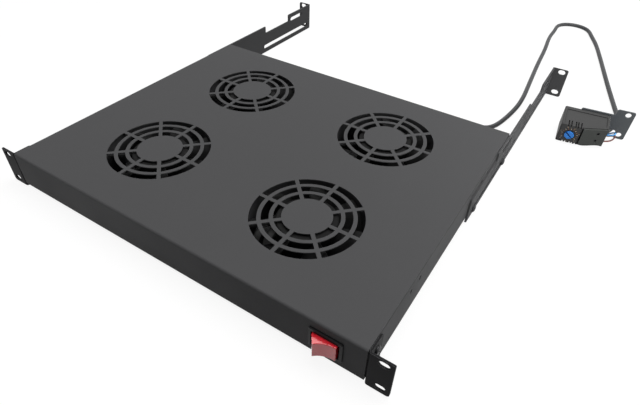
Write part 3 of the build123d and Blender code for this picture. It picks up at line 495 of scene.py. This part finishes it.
for corner in ("front_left", "front_right", "rear_left", "rear_right"):
    give(cast_paint, "fan_frame_" + corner)
    give(rotor_nylon, "fan_rotor_" + corner)
    give(shaft_steel, "fan_shaft_" + corner)
    give(bush_bronze, "fan_bearings_" + corner)
    give(core_steel, "fan_stator_" + corner)
    fan_low, fan_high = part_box("fan_frame_" + corner)
    middle_x = (fan_low[0] + fan_high[0]) / 2
    middle_y = (fan_low[1] + fan_high[1]) / 2
    for x in (middle_x - half_hole_pitch, middle_x + half_hole_pitch):
        for y in (middle_y - half_hole_pitch, middle_y + half_hole_pitch):
            fan_seats.append(((x, y, tray_underside), (0, 0, -1)))
fan_heads = set_in(
    screw("fan_head", *fan_screw, length=0.0092), "fan_screw_set", fan_seats, spin_step=41
)
finish_piece(fan_heads, black_zinc)
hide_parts("fan_screws")

# Switch: a bezel and box of black nylon around a dished rocker of glossy red polycarbonate, and
# six tinned brass tabs behind it.
black_nylon = surface(
    "black_nylon", tone(24, 24, 25), roughness=0.5, grain=0.0005, depth=0.00003, gloss=0.15
)
rocker_red = surface(
    "rocker_red", tone(236, 42, 56), roughness=0.2, grain=0.0009, depth=0.00001, mottle=0.05
)
rocker_shader = rocker_red.node_tree.nodes["Principled BSDF"]
rocker_shader.inputs["Coat Weight"].default_value = 0.35
rocker_shader.inputs["Coat Roughness"].default_value = 0.12
tinned_brass = surface(
    "tinned_brass", tone(206, 198, 172),
    roughness=0.32, grain=0.0005, depth=0.00002, mottle=0.1, metallic=1.0,
)
give(black_nylon, "switch_body")
give(rocker_red, "switch_rocker")
give(tinned_brass, "switch_terminals")

# Mains inlet and terminal block: black and white mouldings, with plated pins. Two cross-recess
# screws hold the inlet's flange to the rear wall.
block_nylon = surface(
    "block_nylon", tone(222, 220, 212), roughness=0.45, grain=0.0006, depth=0.00003, mottle=0.04
)
give(black_nylon, "inlet_body")
give(tinned_brass, "inlet_pins")
give(block_nylon, "terminal_block")
inlet_face, inlet_middle = 0.358, -0.0048
inlet_seats = [((x, inlet_face, inlet_middle), (0, 1, 0)) for x in (0.08, 0.12)]
inlet_heads = set_in(
    screw("inlet_head", *small_screw, length=0.009), "inlet_screw_set", inlet_seats, spin_step=29
)
finish_piece(inlet_heads, black_zinc)
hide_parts("inlet_screws")

# Cable gland: a black nylon hexagon against the rear wall with a thread through it, and a ribbed
# nose that tapers down on to the cable and keeps it from pulling out or kinking.
gland_seat = ((0.170, 0.355, -0.008), (0, 1, 0))
thread_radius = 0.006
nose_rib_count = 6
nose_rib_pitch = 0.0023
nose_rib_taper = 0.00026
nose_groove = 0.0007
nose_profile = [(0.0054, -0.0059), (thread_radius, -0.0054)]
for thread_turn in range(4):
    rise = 0.0012 * thread_turn
    nose_profile += [(0.0055, -0.0048 + rise), (thread_radius, -0.0042 + rise)]
nose_profile += [
    (thread_radius, 0.0), (0.0062, 0.0058), (0.0072, 0.006), (0.0072, 0.0075), (0.0063, 0.0084)
]
for rib in range(nose_rib_count):
    start = 0.0090 + nose_rib_pitch * rib
    crest = 0.0061 - nose_rib_taper * rib
    nose_profile += [
        (crest, start), (crest, start + 0.0013),
        (crest - nose_groove, start + 0.0015), (crest - nose_groove, start + 0.0021),
    ]
nose_profile += [(0.0044, 0.0225), (0.0040, 0.023)]
gland_nose = set_in(turned("nose_ribs", nose_profile), "gland_nose", [gland_seat])
hexagon_profile = [(0.0080, 0.0), (0.0086, 0.0003), (0.0086, 0.0055), (0.0079, 0.006)]
gland_hexagon = set_in(
    turned("gland_flats", hexagon_profile, sides=6), "gland_hexagon", [gland_seat]
)
for piece in (gland_nose, gland_hexagon):
    finish_piece(piece, black_nylon)
    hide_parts("cable_gland")
give(black_nylon, "gland_nut")

# Thermostat: a moulded dark grey case with a blue dial and a terminal cover of nearly the same
# grey, screwed to a plate of grey painted sheet. It stands turned and leans forward.


def paint_crevice_shade(material, reach, darkest):
    """Paints shade into a finish's slots and inner corners, darker the more closely they are shut
    in.
    """
    tree = material.node_tree
    shader = tree.nodes["Principled BSDF"]
    covered = shader.inputs["Base Color"].links[0].from_socket
    openness = tree.nodes.new("ShaderNodeAmbientOcclusion")
    openness.samples = 8
    openness.inputs["Distance"].default_value = reach
    closed, open_air = 0.55, 0.92
    share = ranged(tree, openness.outputs["AO"], (closed, open_air))
    tree.links.new(blended(tree, share, darkest, covered), shader.inputs["Base Color"])


case_plastic = surface(
    "case_plastic", tone(69, 69, 69),
    roughness=0.5, grain=0.0004, depth=0.00004, mottle=0.05, gloss=0.12,
)
cover_plastic = surface(
    "cover_plastic", tone(72, 74, 72),
    roughness=0.45, grain=0.0004, depth=0.00004, mottle=0.05, gloss=0.12,
)
# Painted shade in the vents, slots and inner corners of the case and the terminal cover.
for moulding in (case_plastic, cover_plastic):
    paint_crevice_shade(moulding, 0.004, tone(12, 12, 12))
dial_plastic = surface(
    "dial_plastic", tone(44, 126, 215), roughness=0.35, grain=0.0004, depth=0.00002, mottle=0.05
)
# Painted shade in the hollows of the dial.
paint_crevice_shade(dial_plastic, 0.002, tone(14, 60, 130))
bracket_paint = surface(
    "bracket_paint", tone(74, 78, 81), roughness=0.5, grain=0.0008, depth=0.00004, mottle=0.05
)
# The bracket's edges are lighter: partly worn paint, partly a painted highlight.
wear_and_edge_highlight(bracket_paint, tone(150, 154, 158), 0.0004)
give(case_plastic, "thermostat_case")
give(cover_plastic, "terminal_cover")
give(dial_plastic, "thermostat_dial")
give(bracket_paint, "thermostat_bracket")
give(black_zinc, "terminal_screws")
bracket_back, pad_middle = 0.0445, 0.01875
bracket_seats = [(at_case(x, bracket_back, pad_middle), case_back) for x in (0.0285, 0.0485)]
bracket_heads = set_in(
    screw("bracket_head", *small_screw, length=0.0015), "bracket_screw_set", bracket_seats,
    spin_step=53,
)
finish_piece(bracket_heads, bright_zinc)
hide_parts("bracket_screws")

# Dial's scale: bars of cream and orange ink printed on the case round the dial, with numbers and
# a degree sign outside them. They stay where they are when the dial turns.
dial_middle = Vector((0.0138, 0.0129))
mark_ring = 0.0094
figure_ring = 0.0118
figure_height = 0.0021
ink_lift = 0.00004
cream_ink = surface("cream_ink", tone(170, 154, 132), roughness=0.55, grain=0.0002, depth=0.00001)
orange_ink = surface(
    "orange_ink", tone(164, 102, 64), roughness=0.55, grain=0.0002, depth=0.00001
)
face_turn = Matrix((case_along, case_up, -case_back)).transposed().to_4x4()


def print_on_face(piece, ring, angle, turned_by=0.0):
    """Lays a flat piece on the thermostat's face, at an angle round the dial from its top."""
    spot = dial_middle + ring * Vector((sin(radians(angle)), cos(radians(angle))))
    spin = Matrix.Rotation(radians(-turned_by), 4, "Z")
    piece.data.transform(
        Matrix.Translation(at_case(spot.x, -ink_lift, spot.y)) @ face_turn @ spin
    )


def scale_marks(name, angles, length, width, material):
    """Small bars with bevelled edges that stand round the dial, as one piece."""
    bars = []
    for angle in angles:
        bpy.ops.object.select_all(action="DESELECT")
        bpy.ops.mesh.primitive_cube_add(size=1)
        bar = bpy.context.object
        bar.data.transform(Matrix.Diagonal((width, length, 2 * ink_lift, 1)))
        bpy.ops.object.mode_set(mode="EDIT")
        bpy.ops.mesh.select_all(action="SELECT")
        bpy.ops.mesh.bevel(offset=0.3 * ink_lift, segments=1)
        bpy.ops.object.mode_set(mode="OBJECT")
        print_on_face(bar, mark_ring, angle, turned_by=angle)
        bars.append(bar)
    finish_piece(joined(bars, name), material)


scale_marks("scale_cream", range(-120, 121, 40), 0.0020, 0.0008, cream_ink)
scale_marks("scale_orange", range(-100, 101, 40), 0.0013, 0.0005, orange_ink)
figures = (
    (-130, "0"), (-70, "10"), (-22, "20"), (22, "30"), (70, "40"), (130, "60"),
    (180, "\u00b0C"),
)
for angle, words in figures:
    bpy.ops.object.select_all(action="DESELECT")
    bpy.ops.object.text_add()
    figure = bpy.context.object
    figure.data.body = words
    figure.data.size = figure_height
    figure.data.align_x = "CENTER"
    figure.data.align_y = "CENTER"
    figure.data.extrude = ink_lift
    bpy.ops.object.convert(target="MESH")
    figure = bpy.context.object
    figure.name = figure.data.name = "scale_figure_%d" % angle
    print_on_face(figure, figure_ring, angle)
    finish_piece(figure, cream_ink)

# Floor and light: a pale paper floor that fades into a white background, one large soft lamp
# overhead and weaker ones at the front and sides. Where the backdrop is seen the paper glows and
# is paler, which leaves a faint shadow. To other rays it is darker and throws little light back.
floor_level = cad_low.z - 0.00005
paper_unseen = (0.19, 0.19, 0.19, 1.0)
paper_seen = (0.765, 0.765, 0.765, 1.0)
glow_strength = 1.13
glow_share = 0.80
# The glow never falls below this least share, which leaves a faint painted light in the painted
# shadow under the housing.
least_share = 0.009
fade_reach = (0.9, 2.2)
pure_white = (1.0, 1.0, 1.0, 1.0)
# Inside these sides of the housing the glow dies away: a painted shadow on the floor under the
# housing, so that its slots look down on to shade.
housing_sides = (("X", -0.219, 0.219), ("Y", -0.002, 0.356))
shade_width = 0.06


def backdrop_rays(tree):
    """The rays that see the backdrop as white: those of the camera, of gloss and through glass."""
    ray = tree.nodes.new("ShaderNodeLightPath")
    seen = ray.outputs["Is Camera Ray"]
    for kind in ("Is Glossy Ray", "Is Transmission Ray"):
        seen = reckon(tree, "MAXIMUM", seen, ray.outputs[kind])
    return seen


bpy.ops.object.select_all(action="DESELECT")
bpy.ops.mesh.primitive_plane_add(size=14.0, location=(0.0, 0.0, floor_level))
floor = bpy.context.object
floor.name = "floor"
floor_paper = bpy.data.materials.new("floor_paper")
floor_paper.use_nodes = True
tree = floor_paper.node_tree
shader = tree.nodes["Principled BSDF"]
shader.inputs["Roughness"].default_value = 0.9
place = tree.nodes.new("ShaderNodeTexCoord").outputs["Object"]
axes = tree.nodes.new("ShaderNodeSeparateXYZ")
tree.links.new(place, axes.inputs["Vector"])
# Painted shadow under the housing: near 1 well inside its sides, down to 0 at them.
under = 1.0
for axis, low_side, high_side in housing_sides:
    for side, inner in (
        (low_side, low_side + shade_width), (high_side, high_side - shade_width)
    ):
        inside = ranged(tree, axes.outputs[axis], (side, inner))
        under = reckon(tree, "MULTIPLY", under, inside)
distance = tree.nodes.new("ShaderNodeVectorMath")
distance.operation = "LENGTH"
tree.links.new(place, distance.inputs[0])
far = ranged(tree, distance.outputs["Value"], fade_reach, (0.0, 1.0 - glow_share))
lit = reckon(tree, "ADD", reckon(tree, "SUBTRACT", glow_share, under), far)
lit = reckon(tree, "MAXIMUM", lit, least_share)
seen = reckon(tree, "MULTIPLY", lit, backdrop_rays(tree))
paper = blended(tree, seen, paper_unseen, paper_seen)
tree.links.new(paper, shader.inputs["Base Color"])
glow = tree.nodes.new("ShaderNodeEmission")
glow.inputs["Strength"].default_value = glow_strength
blend = tree.nodes.new("ShaderNodeMixShader")
tree.links.new(seen, blend.inputs["Fac"])
tree.links.new(shader.outputs["BSDF"], blend.inputs[1])
tree.links.new(glow.outputs["Emission"], blend.inputs[2])
tree.links.new(blend.outputs["Shader"], tree.nodes["Material Output"].inputs["Surface"])
floor.data.materials.append(floor_paper)

world = bpy.data.worlds.new("studio")
bpy.context.scene.world = world
world.use_nodes = True
tree = world.node_tree
dim = tree.nodes["Background"]
dim.inputs["Color"].default_value = pure_white
dim.inputs["Strength"].default_value = 0.085
white = tree.nodes.new("ShaderNodeBackground")
white.inputs["Color"].default_value = pure_white
blend = tree.nodes.new("ShaderNodeMixShader")
tree.links.new(backdrop_rays(tree), blend.inputs["Fac"])
tree.links.new(dim.outputs["Background"], blend.inputs[1])
tree.links.new(white.outputs["Background"], blend.inputs[2])
tree.links.new(blend.outputs["Shader"], tree.nodes["World Output"].inputs["Surface"])


def lamp(name, place, aim, size, power, spread=180.0):
    """A square soft lamp that faces a point, narrowed by a grid where a spread is given."""
    light = bpy.data.lights.new(name, "AREA")
    light.size = size
    light.energy = power
    light.spread = radians(spread)
    holder = bpy.data.objects.new(name, light)
    holder.location = place
    holder.rotation_euler = (Vector(aim) - Vector(place)).to_track_quat("-Z", "Y").to_euler()
    bpy.context.scene.collection.objects.link(holder)


lamp("overhead_lamp", (0.2, 0.7, 2.2), aim=(0.0, 0.2, 0.0), size=2.0, power=49.5)
lamp("side_lamp", (2.2, 0.9, 0.7), aim=(0.2, 0.2, 0.0), size=1.2, power=11.0)
lamp("front_lamp", (-0.3, -0.9, 0.1), aim=(-0.12, 0.0, 0.0), size=0.4, power=0.12, spread=45)
lamp("bracket_lamp", (0.75, -0.5, 0.45), aim=(0.3, 0.5, 0.0), size=0.3, power=0.28, spread=30)

bpy.context.scene.view_settings.view_transform = "Standard"
